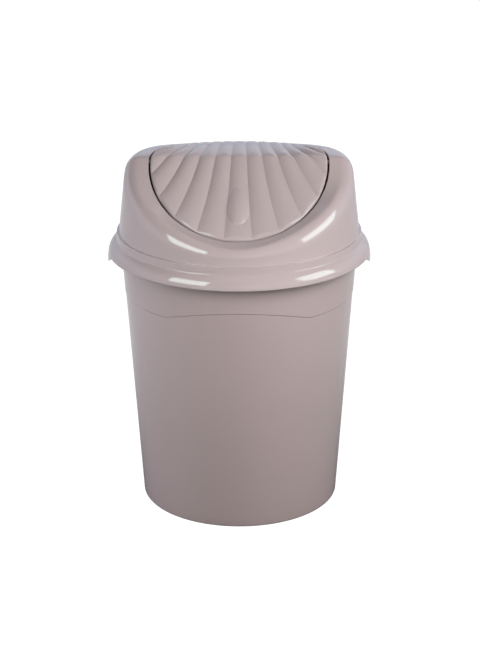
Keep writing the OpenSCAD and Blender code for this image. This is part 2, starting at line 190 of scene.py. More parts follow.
class StageSettings(bpy.types.PropertyGroup):
    camera_distance: length("Camera distance", "Distance from the bin's axis to the camera", 2.631)
    camera_height: length("Camera height", "Height of the camera", 1.234)
    camera_side: length("Camera side", "How far the camera stands to the right", 0.0007)
    camera_turn: angle("Camera turn", "Angle of the camera around the bin", 0.8)
    camera_tilt: angle("Camera tilt", "Angle by which the camera looks down", 20.83)
    camera_roll: angle("Camera roll", "Angle by which the camera leans to the right", 0.2)
    lens: amount("Lens", "Focal length for a 36 mm high picture", 108.81)
    light_height: length("Light height", "Height of the point that the lights look at", 0.42)
    front_room: amount("Front of the room", "Strength of the room's light from the front", 1.02)
    back_room: amount("Back of the room", "Strength of the room's light from behind", 0.96)
    left_light: amount("Left light", "Power of the left softbox in watts", 1.8)
    right_light: amount("Right light", "Power of the right softbox in watts", 10.6)
    back_light: amount("Back light", "Power of the soft light behind the bin in watts", 14.0)
    near_light: amount("Near light", "Power of the soft light in front of the bin in watts", 6.3)
    low_light: amount("Low light", "Power of the low light at the left in watts", 4.0)
    left_glint: amount("Left glint", "Radiance that the left softbox adds in reflections", 5.6)
    right_glint: amount("Right glint", "Radiance that the right softbox adds in reflections", 5.8)


GROUPS = {
    "bin_bucket": BucketSettings,
    "bin_lid": LidSettings,
    "bin_top": TopSettings,
    "bin_flap": FlapSettings,
    "bin_pad": PadSettings,
    "bin_finish": FinishSettings,
    "bin_stage": StageSettings,
}


# Numbers that may be plain or may be sockets in a node tree
class Field:
    """A number in a node tree that takes plain arithmetic."""

    def __init__(self, tree, socket):
        self.tree = tree
        self.socket = socket

    def call(self, operation, *values, first=None):
        feeds = ((first, self) if first is not None else (self,)) + values
        node = add_node(self.tree, "ShaderNodeMath", *enumerate(feeds), operation=operation)
        return Field(self.tree, node.outputs[0])

    def __add__(self, other):
        return self.call("ADD", other)

    def __sub__(self, other):
        return self.call("SUBTRACT", other)

    def __rsub__(self, other):
        return self.call("SUBTRACT", first=other)

    def __mul__(self, other):
        return self.call("MULTIPLY", other)

    def __truediv__(self, other):
        return self.call("DIVIDE", other)

    def __rtruediv__(self, other):
        return self.call("DIVIDE", first=other)

    def __neg__(self):
        return self.call("MULTIPLY", -1.0)

    __radd__ = __add__
    __rmul__ = __mul__


def either(operation, plain, *values):
    fields = [v for v in values if isinstance(v, Field)]
    if not fields:
        return plain(*values)
    if isinstance(values[0], Field):
        return values[0].call(operation, *values[1:])
    return values[1].call(operation, first=values[0])


def root(a):
    return either("SQRT", lambda v: math.sqrt(max(v, 0.0)), a)


def sine(a):
    return either("SINE", math.sin, a)


def cosine(a):
    return either("COSINE", math.cos, a)


def tangent(a):
    return either("TANGENT", math.tan, a)


def size_of(a):
    return either("ABSOLUTE", abs, a)


def whole(a):
    return either("FLOOR", math.floor, a)


def low(a, b):
    return either("MINIMUM", min, a, b)


def high(a, b):
    return either("MAXIMUM", max, a, b)


def ease(t):
    return 0.5 - 0.5 * cosine(t * math.pi)


def limit(t):
    return high(low(t, 1.0), 0.0)


# Shape of the top, shared by the lid and the flap
def crown_line(s, y):
    back = y - s.crown_back
    return s.crown_height - s.crown_radius + root(s.crown_radius * s.crown_radius - back * back)


def fold_line(s, y):
    return crown_line(s, s.fold_back) + tangent(s.slope) * (y - s.fold_back)


def top_height(s, x, y):
    a = fold_line(s, y)
    b = crown_line(s, y)
    near = high(s.fold_soft - size_of(a - b), 0.0)
    aside = root(x * x + s.side_soft * s.side_soft) - s.side_soft
    fall = s.side_slope * aside * high(y - s.fold_back, 0.0) / 0.1
    return low(a, b) - near * near / (4.0 * s.fold_soft) - fall


# Shape of the flap: line u runs from the front edge to the back edge
def flute_ends(s, u):
    r, f, b = s.flap_radius, s.front_pitch * u, s.back_pitch * u
    return (r * sine(f), -r * cosine(f)), (r * sine(b), r * cosine(b))


def flute_point(s, u, v):
    (xf, yf), (xb, yb) = flute_ends(s, u)
    return xb + (xf - xb) * (1.0 - v) * (1.0 - v), yf + (yb - yf) * v


def last_flute(s):
    return math.pi / (s.front_pitch + s.back_pitch)


def fade(t, least):
    return least + (1.0 - least) * low(t, 1.0)


def rib_height(s, u, v):
    off = 2.0 * (u - whole(u + 0.5))
    front, back = fade(v / s.front_run, s.front_fade), fade((1.0 - v) / s.back_run, s.back_fade)
    sides = fade((last_flute(s) - size_of(u)) / s.pole_run, 0.0)
    return s.flute_height * (1.0 - off * off) * front * back * sides


def cap(d, reach):
    left = 1.0 - limit(d / reach)
    return root(1.0 - left * left)


def flap_surface(s, u, v):
    x, y = flute_point(s, u, v)
    inward = s.flap_radius - root(x * x + y * y)
    return x, y, top_height(s, x, y) + rib_height(s, u, v) * cap(inward, s.end_cap)


# Meshes
def finish_piece(obj, material, body, stands_for=None, sharp=50):
    """Shades a piece smooth with sharp corners, and ties it to its body."""
    mesh = bmesh.new()
    mesh.from_mesh(obj.data)
    for face in mesh.faces:
        face.smooth = True
    for edge in mesh.edges:
        edge.smooth = edge.calc_face_angle(0.0) < math.radians(sharp)
    mesh.to_mesh(obj.data)
    mesh.free()
    obj.data.materials.clear()
    obj.data.materials.append(material)
    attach(obj, body)
    if stands_for:
        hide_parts(stands_for)


def new_object(name, data):
    obj = bpy.data.objects.new(name, data)
    bpy.context.scene.collection.objects.link(obj)
    return obj


def mesh_object(name, build):
    """Runs build on an empty bmesh, welds it, turns its faces outwards and returns the object."""
    mesh = bmesh.new()
    build(mesh)
    bmesh.ops.remove_doubles(mesh, verts=mesh.verts, dist=0.002 * MM)
    bmesh.ops.recalc_face_normals(mesh, faces=mesh.faces)
    data = bpy.data.meshes.new(name)
    mesh.to_mesh(data)
    mesh.free()
    return new_object(name, data)


def stand(a, path):
    """Points of a profile, radius and height, at an angle from the front."""
    return [(r * math.sin(a), -r * math.cos(a), z) for r, z in path]


def grid_faces(mesh, rows, close_rows, close_cols):
    """Quads over rows of points, closed round either way."""
    points = [[mesh.verts.new(p) for p in row] for row in rows]
    count, width = len(points), len(points[0])
    for i in range(count if close_rows else count - 1):
        for j in range(width if close_cols else width - 1):
            a, b = points[i], points[(i + 1) % count]
            k = (j + 1) % width
            mesh.faces.new((a[j], b[j], b[k], a[k]))


def arc(middle, radius, start, end, steps):
    return [
        (middle[0] + radius * math.cos(t), middle[1] + radius * math.sin(t))
        for t in (math.radians(start + (end - start) * i / steps) for i in range(steps + 1))
    ]


def filleted(corners, steps=5):
    """A path through corners given as radius, height and fillet. One step makes a bevel."""
    path = []
    for i, (r, z, fillet) in enumerate(corners):
        here = Vector((r, z))
        if not fillet or i in (0, len(corners) - 1):
            path.append((r, z))
            continue
        before = (Vector(corners[i - 1][:2]) - here).normalized()
        after = (Vector(corners[i + 1][:2]) - here).normalized()
        half = before.angle(after) / 2
        reach = fillet / math.tan(half)
        path += conic(here + before * reach, here, here + after * reach, steps)
    return path


def conic(a, b, c, steps):
    """A true round corner between two legs of one length."""
    a, b, c = Vector(a), Vector(b), Vector(c)
    w = math.sin((a - b).angle(c - b) / 2)
    out = []
    for i in range(steps + 1):
        t = i / steps
        k = ((1 - t) ** 2, 2 * w * t * (1 - t), t * t)
        out.append(tuple((a * k[0] + b * k[1] + c * k[2]) / sum(k)))
    return out


def lerp(a, b, t):
    return a + (b - a) * t


def smooth(t):
    t = min(max(t, 0.0), 1.0)
    return t * t * (3 - 2 * t)


# Bucket
def bucket_columns(b):
    flare = (b.seat_radius - b.foot_radius) / b.seat_height
    rim_top = b.seat_height - b.seat_clear
    rim_r = b.seat_radius + b.rim_reach
    lip = b.seat_height - b.rim_lip
    middle = (rim_r - b.rim_round, rim_top - b.rim_round)
    arch_r = (b.arch_half**2 + b.arch_rise**2) / (2 * b.arch_rise)

    def wall_r(z):
        return b.foot_radius + flare * z

    out_r = wall_r(b.foot_round) - b.foot_round
    in_r = out_r - b.foot_ring
    floor_r = in_r - b.floor_step
    band_top = middle[1] + b.rim_round / 2
    under = filleted(
        [(0, b.floor_lift, 0), (floor_r, b.floor_lift, 2 * MM), (in_r, 0, 1 * MM), (out_r - 1 * MM, 0, 0)]
    )
    foot = arc((out_r, b.foot_round), b.foot_round, -90, -math.degrees(math.atan(flare)), 8)
    under_rim = rim_top - b.wall
    hollow = filleted(
        [(wall_r(band_top), band_top, 0), (wall_r(rim_top), under_rim, 1 * MM), (middle[0], under_rim, 0)]
    )
    hollow += arc(middle, b.rim_round - b.wall, 90, 0, 12)[1:]
    lip_in = rim_r - b.wall
    lip_down = [(lip_in, middle[1], 0), (lip_in, lip, 0.8 * MM)]
    lip_up = [(rim_r, lip, 0.8 * MM), (rim_r, middle[1], 0)]
    rim = filleted(lip_down + lip_up)[1:-1] + arc(middle, b.rim_round, 0, 90, 16)
    low_z, floor_z = b.floor_lift + b.foot_round, b.floor_lift + b.floor_thickness
    inside = filleted(
        [
            (middle[0], rim_top, 0),
            (wall_r(rim_top) - b.wall, rim_top, 1 * MM),
            (wall_r(low_z) - b.wall, low_z, 4 * MM),
            (out_r - b.wall, b.floor_thickness, 2 * MM),
            (in_r + b.floor_thickness / 2, b.floor_thickness, 1 * MM),
            (floor_r + b.floor_thickness / 2, floor_z, 2 * MM),
            (0, floor_z, 0),
        ]
    )[1:]
    # Heights of the points across the band's lower edge, in mm from its middle
    steps = [-1.6, -1.0, -0.7, -0.4, -0.1, 0.2, 0.5, 0.8, 1.4]
    columns = []
    for i in range(b.columns):
        a = TURN * i / b.columns
        x = min(abs(wall_r(b.band_height) * math.sin(a)), b.arch_half)
        edge = b.band_height + b.arch_rise - arch_r + math.sqrt(arch_r**2 - x**2)
        heights = [lerp(b.foot_round, edge + steps[0] * MM, j / 24) for j in range(1, 24)]
        heights += [edge + d * MM for d in steps]
        heights += [lerp(edge + steps[-1] * MM, band_top, j / 12) for j in range(1, 13)]
        wall = []
        for z in heights:
            proud = smooth((z - edge) / b.band_bevel + 0.5) * smooth((band_top - z) / (2 * MM))
            wall.append((wall_r(z) + b.band_proud * proud, z))
        columns.append(stand(a, under + foot + wall + hollow[1:] + rim + inside))
    return columns


# Lid
def corner(l, a):
    """Reach of the rounding inwards and down the wall at an angle, and the outward rise of the top.

    It changes over the first 42 degrees from the front, and again between 58 and 88 degrees.
    """
    turn = math.degrees(abs(math.remainder(a, TURN)))
    aside, back = smooth(turn / 42), smooth((turn - 58) / 30)
    leg = math.tan(math.pi / 4 - math.atan(l.dome_lean) / 2)
    inwards = lerp(lerp(l.front_round * leg, l.corner_in, aside), l.side_round * leg, back)
    down = lerp(lerp(l.front_round * leg, l.corner_down, aside), l.side_round * leg, back)
    return inwards, down, l.corner_rise * aside * (1 - back)


def lid_top(l, s, a, r):
    """Height of the lid's top, which in front of the bin's axis is read at the opening's edge."""
    y = -math.cos(a) * (l.opening_radius if math.cos(a) > 0 else r)
    return top_height(s, r * math.sin(a), y) + corner(l, a)[2] * (r - l.opening_radius)


def dome_side(l, s, a, inset, turn_steps=20, flat_steps=6):
    """Dome profile at an angle from the front: foot, wall, round corner and top."""
    foot_r = l.ring_radius - l.ledge

    def wall_r(z, depth):
        return foot_r - depth - l.dome_lean * (z - l.ring_height)

    inwards, down, _ = corner(l, a)
    corner_r = wall_r(lid_top(l, s, a, wall_r(s.crown_height, 0)), 0)
    flat_r = corner_r - inwards
    flat_z = lid_top(l, s, a, flat_r) - inset
    fall = (lid_top(l, s, a, flat_r + MM) - lid_top(l, s, a, flat_r)) / MM
    drop = l.dome_lean * (flat_z - fall * flat_r - l.ring_height)
    meet_r = (foot_r - inset - drop) / (1 + l.dome_lean * fall)
    meet = Vector((meet_r, flat_z + fall * (meet_r - flat_r)))
    flat = Vector((flat_r, flat_z))
    wall = Vector((l.dome_lean, -1)).normalized()
    # At least a tenth of the wall stays straight
    start = meet + wall * min(down - inset, (meet[1] - l.ring_height) * 0.9 - inset)
    side = conic(start, meet, flat, turn_steps)
    end_r = l.opening_radius + (l.edge_round if not inset else 0)
    for i in range(1, flat_steps + 1):
        r = lerp(flat_r, end_r, i / flat_steps)
        side.append((r, lid_top(l, s, a, r) - inset))
    return wall_r(l.ring_height, inset), side


def tab_depth(l, a):
    tab_r = (l.tab_half**2 + l.tab_drop**2) / (2 * l.tab_drop)
    y = l.skirt_radius * math.cos(a)
    return max(0.0, math.sqrt(max(tab_r**2 - y**2, 0.0)) - (tab_r - l.tab_drop))


def lid_columns(l, s):
    middle = (l.skirt_radius - l.shoulder_round, l.shoulder_height)
    foot_r = l.ring_radius + l.ring_flare
    foot_a = math.acos((foot_r - middle[0]) / l.shoulder_round)
    foot = (foot_r, middle[1] + l.shoulder_round * math.sin(foot_a))
    # Below this height the points follow the lower edge with its tabs
    join_z = l.skirt_height + 4 * MM
    join_a = math.asin((join_z - middle[1]) / l.shoulder_round)
    end_a = foot_a - l.ring_fillet / l.shoulder_round
    inner_round = l.shoulder_round - l.wall
    seat_a = math.degrees(math.asin((l.seat_height - middle[1]) / inner_round))
    in_join = math.degrees(math.asin((join_z - middle[1]) / inner_round))
    shoulder = arc(middle, l.shoulder_round, math.degrees(join_a), math.degrees(end_a), 22)
    up = (Vector((l.ring_radius, l.ring_height)) - Vector(foot)).normalized()
    fillet = conic(shoulder[-1], foot, Vector(foot) + up * l.ring_fillet, 5)[1:]
    inner_shoulder = arc(middle, inner_round, seat_a, in_join, 14)

    def skirt_r(z):
        rise = max(z - middle[1], 0.0)
        return middle[0] + math.sqrt(l.shoulder_round**2 - rise**2)

    columns = []
    for i in range(l.columns):
        a = TURN * i / l.columns
        drop = tab_depth(l, a)
        low_z = l.skirt_height - drop
        thin = lerp(l.wall, l.tab_wall, smooth(drop / (6 * MM)))

        def flare(z):
            t = (l.skirt_height - z) / (l.tab_drop * 2 / 3)
            return l.tab_flare * (smooth(t) - 0.8 * smooth((t - 0.75) / 0.75)) if t > 0 else 0.0

        outer, inner = [], []
        for j in range(13):
            z = lerp(low_z + 0.7 * MM, join_z, (j / 12) ** 1.3)
            depth = lerp(thin, l.wall, j / 12)
            r = skirt_r(z) + flare(z)
            outer.append((r, z))
            inner.append((r - depth, z))
        inner[-1] = inner_shoulder[-1]
        tip_r, tip_z = outer[0]
        hem = [
            (tip_r - thin, tip_z),
            (tip_r - thin + 0.3 * MM, low_z + 0.15 * MM),
            (tip_r - thin / 2, low_z),
            (tip_r - 0.35 * MM, low_z + 0.08 * MM),
            (tip_r - 0.1 * MM, low_z + 0.3 * MM),
        ]
        dome_r, side = dome_side(l, s, a, 0)
        inner_r, inner_side = dome_side(l, s, a, l.wall)
        ring = filleted(
            [
                (*fillet[-1], 0),
                (l.ring_radius, l.ring_height, l.ring_edge),
                (dome_r - 0.1 * MM, l.ring_height - 0.1 * MM, l.ledge_fillet),
                (*side[0], 0),
            ]
        )[1:-1]
        last_r, last_z = side[-1]
        rim = [
            (lerp(l.opening_radius, last_r, 1 - math.sin(t)), last_z - l.edge_round * (1 - math.cos(t)))
            for t in (math.pi / 2 * k / 5 for k in range(1, 6))
        ]
        step_r, step_z = l.ring_radius - l.wall, l.ring_height - l.wall
        seat = (step_r, l.seat_height)
        under = [(*inner_side[0], 0), (inner_r, step_z, 0.8 * MM), (step_r, step_z, 0.8 * MM), (*seat, 0)]
        outside = hem[1:] + outer + shoulder[1:] + fillet + ring + side + rim
        inside = inner_side[::-1] + filleted(under)[1:-1] + [seat] + inner_shoulder + inner[-2::-1]
        columns.append(stand(a, outside + inside))
    return columns


# Turned pieces that lie along the swing axis
def turned(mesh, path, middle, side, steps=48):
    """A profile of distance along the axis and radius, turned round the line through middle."""
    rows = []
    for i in range(steps):
        a = TURN * i / steps
        rows.append([(side * x, middle[1] + r * math.cos(a), middle[2] + r * math.sin(a)) for x, r in path])
    grid_faces(mesh, rows, True, False)


def pivot(f, s):
    z = fold_line(s, f.pivot_back) - f.pivot_depth / math.cos(s.slope)
    return Vector((0, f.pivot_back, z))


def socket_start(l, f):
    """Distance from the bin's middle plane to the sockets' mouths."""
    return math.sqrt(l.opening_radius**2 - f.pivot_back**2) + l.opening_radius - f.flap_radius


def prism(mesh, outline, y0, y1):
    """An outline in x and z between two planes of constant y."""
    near = [mesh.verts.new((x, y0, z)) for x, z in outline]
    far = [mesh.verts.new((x, y1, z)) for x, z in outline]
    mesh.faces.new(near)
    mesh.faces.new(far[::-1])
    for i in range(len(outline)):
        k = (i + 1) % len(outline)
        mesh.faces.new((near[i], far[i], far[k], near[k]))


def under_rib(mesh, s, at, u0, u1, depth, steps):
    """A rib under the flap between two shares of the way back, from line u0 to line u1.

    Its top reaches into the flap by 0.4 of the flap's thickness.
    """
    rows = []
    for i in range(steps + 1):
        u = lerp(u0, u1, i / steps)
        middle = flap_surface(s, u, (at[0] + at[1]) / 2)[2] - s.thickness - depth
        a, b = flute_point(s, u, at[0]), flute_point(s, u, at[1])
        tops = [flap_surface(s, u, v)[2] - s.thickness * 0.6 for v in at]
        rows.append([(*a, tops[0]), (*b, tops[1]), (*b, middle), (*a, middle)])
    grid_faces(mesh, rows, False, True)
    for row in (rows[0], rows[-1]):
        mesh.faces.new([mesh.verts.new(p) for p in row])


# Node trees
def named_tree(name, kind, inputs, outputs):
    """A node group with named inputs and outputs, and its input and output nodes."""
    tree = bpy.data.node_groups.new(name, kind)
    for label, socket_type, default in inputs:
        socket = tree.interface.new_socket(label, in_out="INPUT", socket_type=socket_type)
        if default is not None:
            socket.default_value = default
    for label, socket_type in outputs:
        tree.interface.new_socket(label, in_out="OUTPUT", socket_type=socket_type)
    enter = tree.nodes.new("NodeGroupInput")
    leave = tree.nodes.new("NodeGroupOutput")
    leave.location = (4200, 0)
    return tree, enter, leave


def size_inputs(*groups):
    """Label, type and value of each number in some groups of settings, and their names in the code."""
    inputs, names = [], []
    for settings in groups:
        for key, prop in settings.bl_rna.properties.items():
            if prop.type == "FLOAT":
                inputs.append((prop.name, "NodeSocketFloat", getattr(settings, key)))
                names.append(key)
    return inputs, names


def shape_tree(name, inputs, names):
    """A geometry tree whose inputs are sizes and a material, and its sizes as fields."""
    inputs = inputs + [("Material", "NodeSocketMaterial", None)]
    tree, enter, leave = named_tree(name, "GeometryNodeTree", inputs, [("Mesh", "NodeSocketGeometry")])
    sizes = {key: Field(tree, enter.outputs[i]) for i, key in enumerate(names)}
    return tree, enter, leave, SimpleNamespace(**sizes)


def parts_of(tree, vector):
    """The x, y and z of a vector in a tree, as fields."""
    return [Field(tree, socket) for socket in add_node(tree, "ShaderNodeSeparateXYZ", (0, vector)).outputs]


def position(tree):
    """The x, y and z of the points in a geometry tree, as fields."""
    return parts_of(tree, tree.nodes.new("GeometryNodeInputPosition").outputs[0])


def flat_grid(tree, width, depth, columns, rows):
    """The mesh of a flat grid with so many columns and rows of faces."""
    sizes = ("Size X", width), ("Size Y", depth), ("Vertices X", columns + 1), ("Vertices Y", rows + 1)
    return add_node(tree, "GeometryNodeMeshGrid", *sizes).outputs[0]


def place_points(tree, geometry, x, y, z):
    """The mesh with its points moved to a computed place."""
    place = add_node(tree, "ShaderNodeCombineXYZ", ("X", x), ("Y", y), ("Z", z)).outputs[0]
    return add_node(tree, "GeometryNodeSetPosition", ("Geometry", geometry), ("Position", place)).outputs[0]


def add_node(tree, kind, *feeds, **options):
    node = tree.nodes.new(kind)
    node.location = (170 * (len(tree.nodes) % 24), -180 * (len(tree.nodes) // 24))
    for key, value in options.items():
        setattr(node, key, value)
    for slot, feed in feeds:
        if isinstance(feed, Field):
            feed = feed.socket
        if isinstance(feed, bpy.types.NodeSocket):
            tree.links.new(feed, node.inputs[slot])
        else:
            node.inputs[slot].default_value = feed
    return node


def bake_tree(name, tree, inputs, material):
    """Runs a geometry tree on an empty mesh and keeps the result as a plain mesh."""
    obj = new_object(name, bpy.data.meshes.new(name))
    modifier = obj.modifiers.new("Shape", "NODES")
    modifier.node_group = tree
    values = {label: value for label, _, value in inputs} | {"Material": material}
    for socket in tree.interface.items_tree:
        if socket.in_out == "INPUT":
            modifier[socket.identifier] = values[socket.name]
    bpy.context.view_layer.update()
    graph = bpy.context.evaluated_depsgraph_get()
    result = bpy.data.meshes.new_from_object(obj.evaluated_get(graph), depsgraph=graph)
    obj.modifiers.remove(modifier)
    obj.data = result
    result.name = name
    return obj


def close_shell(tree, leave, enter, lower, lift):
    """Turns a surface into a closed shell: its underside, plus the same faces pushed up by lift."""
    feeds = ("Mesh", lower), ("Offset Scale", 0.0), ("Individual", False)
    push = add_node(tree, "GeometryNodeExtrudeMesh", *feeds, mode="FACES")
    up = add_node(tree, "ShaderNodeCombineXYZ", ("Z", lift)).outputs[0]
    feeds = ("Geometry", push.outputs["Mesh"]), ("Selection", push.outputs["Top"]), ("Offset", up)
    upper = add_node(tree, "GeometryNodeSetPosition", *feeds)
    floor = add_node(tree, "GeometryNodeFlipFaces", ("Mesh", lower))
    both = tree.nodes.new("GeometryNodeJoinGeometry")
    for source in (floor.outputs[0], upper.outputs[0]):
        tree.links.new(source, both.inputs[0])
    feeds = ("Geometry", both.outputs[0]), ("Distance", 0.02 * MM)
    weld = add_node(tree, "GeometryNodeMergeByDistance", *feeds)
    real = add_node(tree, "GeometryNodeRealizeInstances", ("Geometry", weld.outputs[0]))
    feeds = ("Geometry", real.outputs[0]), ("Material", enter.outputs["Material"])
    paint = add_node(tree, "GeometryNodeSetMaterial", *feeds)
    tree.links.new(paint.outputs[0], leave.inputs[0])


def flap_tree(inputs, names):
    """Fluted shell of the flap as a grid of lines that bend outwards to the front."""
    tree, enter, leave, s = shape_tree("fluted_shell", inputs, names)
    # Faces across a flute and along it, and the share of the rows that lie in front of the fold
    flutes, fine, rows = 14, 20, 90
    split = 0.6
    grid = flat_grid(tree, float(flutes), 1.0, flutes * fine, rows)
    across, along, _ = position(tree)
    end = last_flute(s)
    u = high(low(across, end), -end)
    t = along + 0.5
    (_, yf), (_, yb) = flute_ends(s, u)
    fold = high((s.fold_back - yf) / high(yb - yf, MM), 0.1)
    v = fold * ease(low(t / split, 1.0)) + (1.0 - fold) * ease(high((t - split) / (1.0 - split), 0.0))
    x, y, z = flap_surface(s, u, v)
    lower = place_points(tree, grid, x, y, z - s.thickness)
    # The upper face is rounded off at the rim
    x, y, _ = position(tree)
    inward = s.flap_radius - root(x * x + y * y)
    lift = s.thickness - s.edge_round * (1.0 - cap(inward, s.edge_round))
    close_shell(tree, leave, enter, lower, lift)
    return tree


def pad_tree(inputs, names):
    """Oval finger pad on the middle flute, with grip ridges on its lower half."""
    tree, enter, leave, s = shape_tree("finger_pad", inputs, names)
    sunk = 0.9 * MM
    # A square grid is bent to a disc
    grid = flat_grid(tree, 2.0, 2.0, 88, 96)
    x, y, _ = position(tree)
    a = sine(x * (math.pi / 2))
    b = sine(y * (math.pi / 2))
    across = a * root(1.0 - b * b * 0.5)
    along = b * root(1.0 - a * a * 0.5)
    x = across * s.pad_half_width
    y = along * s.pad_half_length - s.pad_front
    v = (y + s.flap_radius) / (2.0 * s.flap_radius)
    spread = s.back_pitch + (s.front_pitch - s.back_pitch) * (1.0 - v) * (1.0 - v)
    u = x / (s.flap_radius * spread)
    base = top_height(s, x, y) + rib_height(s, low(high(u, -0.5), 0.499), v) - sunk
    lower = place_points(tree, grid, x, y, base)
    # The bulge is higher towards the front, and the ridges fade in from the middle
    x, y, _ = position(tree)
    pa, pb = x / s.pad_half_width, (y + s.pad_front) / s.pad_half_length
    bulge = root(high(1.0 - pa * pa - pb * pb, 0.0))
    rise = s.pad_height * bulge * (1.0 - pb * 0.55) / 1.15
    ridge = cosine(x * (TURN / s.grip_pitch)) * 0.5 - 0.5
    grip = s.grip_height * ridge * limit(-pb * 3.0 - 0.3) * limit(bulge * 2.5)
    close_shell(tree, leave, enter, lower, sunk + rise + grip)
    return tree


# Materials
def plastic_group():
    """Colour, roughness and height of glossy moulded plastic, from the object's own coordinates."""
    tree, enter, leave = named_tree(
        "moulded_plastic",
        "ShaderNodeTree",
        [
            ("Position", "NodeSocketVector", None),
            ("Colour", "NodeSocketColor", (0.4, 0.3, 0.3, 1)),
            ("Roughness", "NodeSocketFloat", 0.2),
            ("Mottle", "NodeSocketFloat", 0.03),
            ("Ripple", "NodeSocketFloat", 0.3),
            ("Scuffs", "NodeSocketFloat", 0.05),
        ],
        [("Colour", "NodeSocketColor"), ("Roughness", "NodeSocketFloat"), ("Height", "NodeSocketFloat")],
    )

    def noise(where, scale, detail, roughness=0.5):
        feeds = ("Vector", where), ("Scale", scale), ("Detail", detail), ("Roughness", roughness)
        return Field(tree, add_node(tree, "ShaderNodeTexNoise", *feeds).outputs[0])

    def given(label):
        return Field(tree, enter.outputs[label])

    def times(vector, factor):
        feeds = (0, vector), (1, factor)
        return add_node(tree, "ShaderNodeVectorMath", *feeds, operation="MULTIPLY").outputs[0]

    where = enter.outputs["Position"]
    cloud = noise(where, 9.0, 3.0, 0.55) - 0.5
    # Scuffs run round the piece, so their noise is squeezed in height
    scuffs = noise(times(where, (40.0, 40.0, 700.0)), 1.0, 4.0, 0.7)
    scuffs = limit((scuffs - 0.58) * 8.0) * given("Scuffs")
    tone = times(enter.outputs["Colour"], 1.0 + cloud * given("Mottle") * 2.0)
    rough = given("Roughness") * (1.0 + cloud * 0.3) + scuffs
    height = noise(where, 26.0, 1.0) * given("Ripple") + noise(where, 900.0, 2.0) * 0.02
    tree.links.new(tone, leave.inputs["Colour"])
    for label, field in (("Roughness", rough), ("Height", height)):
        tree.links.new(field.socket, leave.inputs[label])
    return tree


def plastic(name, colour, roughness, mottle, ripple, scuffs):
    """The glossy plastic of one moulding, made at its first use."""
    found = bpy.data.materials.get(name)
    if found:
        return found
    group = bpy.data.node_groups.get("moulded_plastic") or plastic_group()
    material = bpy.data.materials.new(name)
    material.use_nodes = True
    tree = material.node_tree
    shader = tree.nodes["Principled BSDF"]
    place = add_node(tree, "ShaderNodeTexCoord").outputs["Object"]
    feeds = ("Position", place), ("Colour", colour), ("Roughness", roughness)
    marks = ("Mottle", mottle), ("Ripple", ripple), ("Scuffs", scuffs)
    finish = add_node(tree, "ShaderNodeGroup", *feeds, *marks, node_tree=group)
    height = finish.outputs["Height"]
    bump = add_node(tree, "ShaderNodeBump", ("Strength", 0.5), ("Distance", 0.2 * MM), ("Height", height))
    tree.links.new(finish.outputs["Colour"], shader.inputs["Base Color"])
    tree.links.new(finish.outputs["Roughness"], shader.inputs["Roughness"])
    tree.links.new(bump.outputs[0], shader.inputs["Normal"])
    shader.inputs["IOR"].default_value = 1.5
    return material


def pale_floor():
    """A pale floor that the camera sees as white as a paper backdrop.

    In reflections it glows too, but not near the bin, where it lies in the bin's shade.
    """
    pale = bpy.data.materials.new("pale_floor")
    pale.use_nodes = True
    tree = pale.node_tree
    shader = tree.nodes["Principled BSDF"]
    shader.inputs["Base Color"].default_value = (0.12, 0.12, 0.12, 1)
    shader.inputs["Roughness"].default_value = 0.9
    shader.inputs["Emission Color"].default_value = (1, 1, 1, 1)
    path = add_node(tree, "ShaderNodeLightPath")
    place = add_node(tree, "ShaderNodeTexCoord")
    away = add_node(tree, "ShaderNodeVectorMath", (0, place.outputs["Object"]), operation="LENGTH")
    open_floor = limit((Field(tree, away.outputs["Value"]) - 0.15) * 2.0)
    reflected = Field(tree, path.outputs["Is Glossy Ray"]) * open_floor * 0.6
    glow = Field(tree, path.outputs["Is Camera Ray"]) + reflected
    tree.links.new(glow.socket, shader.inputs["Emission Strength"])
    return pale


def white_room(front, back):
    """Soft white surroundings, dark overhead and bluer behind, that the camera sees as plain white."""
    room = bpy.data.worlds.new("room")
    room.use_nodes = True
    tree = room.node_tree
    _, y, z = parts_of(tree, add_node(tree, "ShaderNodeTexCoord").outputs["Generated"])
    path = add_node(tree, "ShaderNodeLightPath")
    behind = limit(y * 1.4 + 0.5)
    level = 1.0 - limit((z - 0.4) * 5.0)
    near = tree.nodes["Background"]
    near.inputs["Color"].default_value = (1, 1, 1, 1)
    tree.links.new((level * front).socket, near.inputs["Strength"])
    # Reflections of the back are dimmer just above the horizon
    horizon = 0.3 * limit(z * 4.0) - 0.3
    dim = level * back * (1.0 + Field(tree, path.outputs["Is Glossy Ray"]) * horizon)
    far = add_node(tree, "ShaderNodeBackground", ("Color", (0.84, 0.94, 1.1, 1)), ("Strength", dim))
    plain = add_node(tree, "ShaderNodeBackground", ("Color", (1, 1, 1, 1)))
    lit = add_node(tree, "ShaderNodeMixShader", (0, behind), (1, near.outputs[0]), (2, far.outputs[0]))
    camera = path.outputs["Is Camera Ray"]
    both = add_node(tree, "ShaderNodeMixShader", (0, camera), (1, lit.outputs[0]), (2, plain.outputs[0]))
    tree.links.new(both.outputs[0], tree.nodes["World Output"].inputs["Surface"])
    return room


def moulding(part):
    """The plastic of a part. The numbers are its mottle, ripple and scuffs."""
    f = bpy.context.scene.bin_finish
    looks = {
        "bucket": (f.plastic, f.bucket_rough, 0.03, 0.5, 0.06),
        # The lid and the flap take greyer, lighter copies of the bucket's plastic as painted light and
        # sheen
        "lid": (f.lid_plastic, f.lid_rough, 0.02, 0.1, 0.03),
        "flap": (f.flap_plastic, f.flap_rough, 0.02, 0.3, 0.04),
    }
    return plastic(part + "_moulding", *looks[part])


